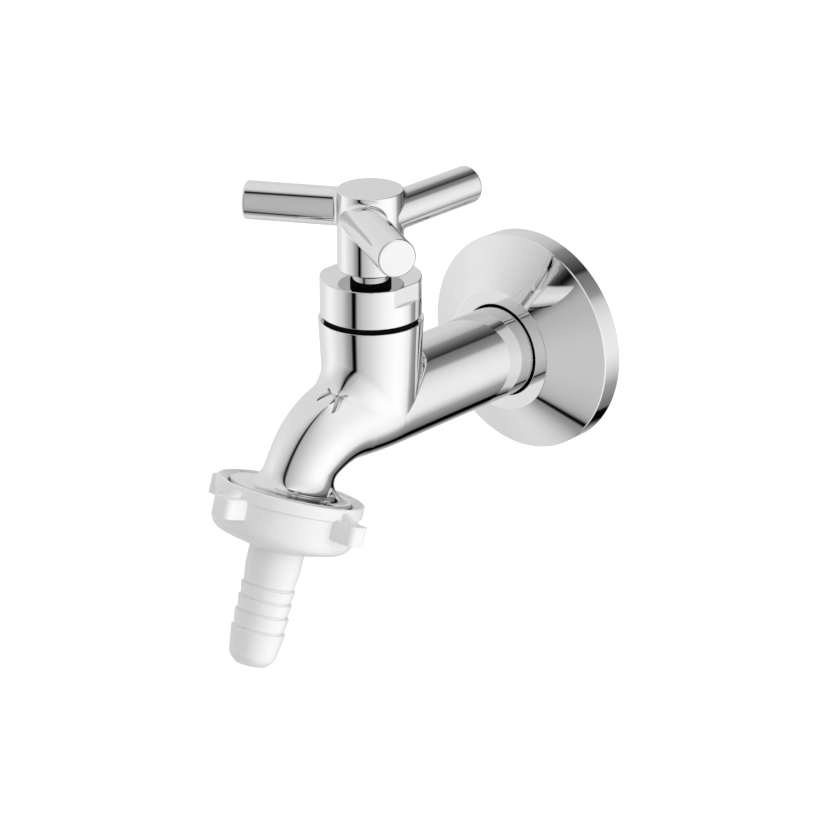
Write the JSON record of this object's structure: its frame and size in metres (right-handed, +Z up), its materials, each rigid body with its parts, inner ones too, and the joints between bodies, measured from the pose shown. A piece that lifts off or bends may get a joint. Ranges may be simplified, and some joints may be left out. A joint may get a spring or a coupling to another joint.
{
  "type": "garden tap",
  "caption": "Chromed garden tap with a wall flange, a three-spoke handle, a rising washer valve and a downward spout with a plastic hose union and barbed tail.",
  "frame": {"origin": "on the barrel's axis in the plane of the wall, where the inlet thread enters it", "axes": "+Z up along the valve; -Y out of the wall along the barrel; +X to the right seen from in front of the tap"},
  "size_m": [0.0664, 0.1422, 0.1244],
  "materials": {
    "chrome": "polished",
    "brass": "turned",
    "rubber": "matte",
    "steel": "dark oiled",
    "white_plastic": "fine moulded",
    "slip_plastic": "smooth"
  },
  "bodies": {
    "body": {"tap_body": "chrome", "headwork_body": "brass", "headwork_gasket": "rubber", "bonnet": "chrome", "thrust_washer": "slip_plastic"},
    "flange": {"wall_flange": "chrome", "flange_o_ring": "rubber"},
    "handle": {"handle_hub": "chrome", "spoke_front_right": "chrome", "spoke_front_left": "chrome", "spoke_rear": "chrome", "handle_grub_screw": "steel", "spindle": "brass", "spindle_o_rings": "rubber", "spindle_clip": "steel", "dust_ring": "rubber"},
    "carrier": {"valve_carrier": "brass", "seat_washer": "rubber", "seat_washer_screw": "brass"},
    "union": {"hose_washer": "rubber"},
    "nut": {"union_nut": "white_plastic"},
    "tail": {"hose_tail": "white_plastic"}
  },
  "joints": [
    {"name": "handle_turn", "type": "hinge", "parent": "body", "child": "handle", "pos_m": [0, -0.0683, 0.055], "axis": [0, 0, 1], "range_deg": [0, 810]},
    {"name": "carrier_lift", "type": "slide", "parent": "body", "child": "carrier", "axis": [0, 0, 1], "range_m": [0, 0.0045]},
    {"name": "union_drop", "type": "slide", "parent": "body", "child": "union", "axis": [0, -0.3464, -0.9381], "range_m": [0, 0.00673]},
    {"name": "nut_turn", "type": "hinge", "parent": "union", "child": "nut", "pos_m": [0, -0.10276, -0.0226], "axis": [0, -0.3464, -0.9381], "range_deg": [0, 1050]},
    {"name": "tail_swivel", "type": "hinge", "parent": "union", "child": "tail", "pos_m": [0, -0.11038, -0.04323], "axis": [0, -0.3464, -0.9381], "continuous": true},
    {"name": "flange_slide", "type": "slide", "parent": "body", "child": "flange", "axis": [0, -1, 0], "range_m": [0, 0.02]}
  ],
  "couplings": [
    {"joint": "carrier_lift", "follows": "handle_turn", "m_per_rad": 0.00031831},
    {"joint": "union_drop", "follows": "nut_turn", "m_per_rad": 0.00036749}
  ]
}
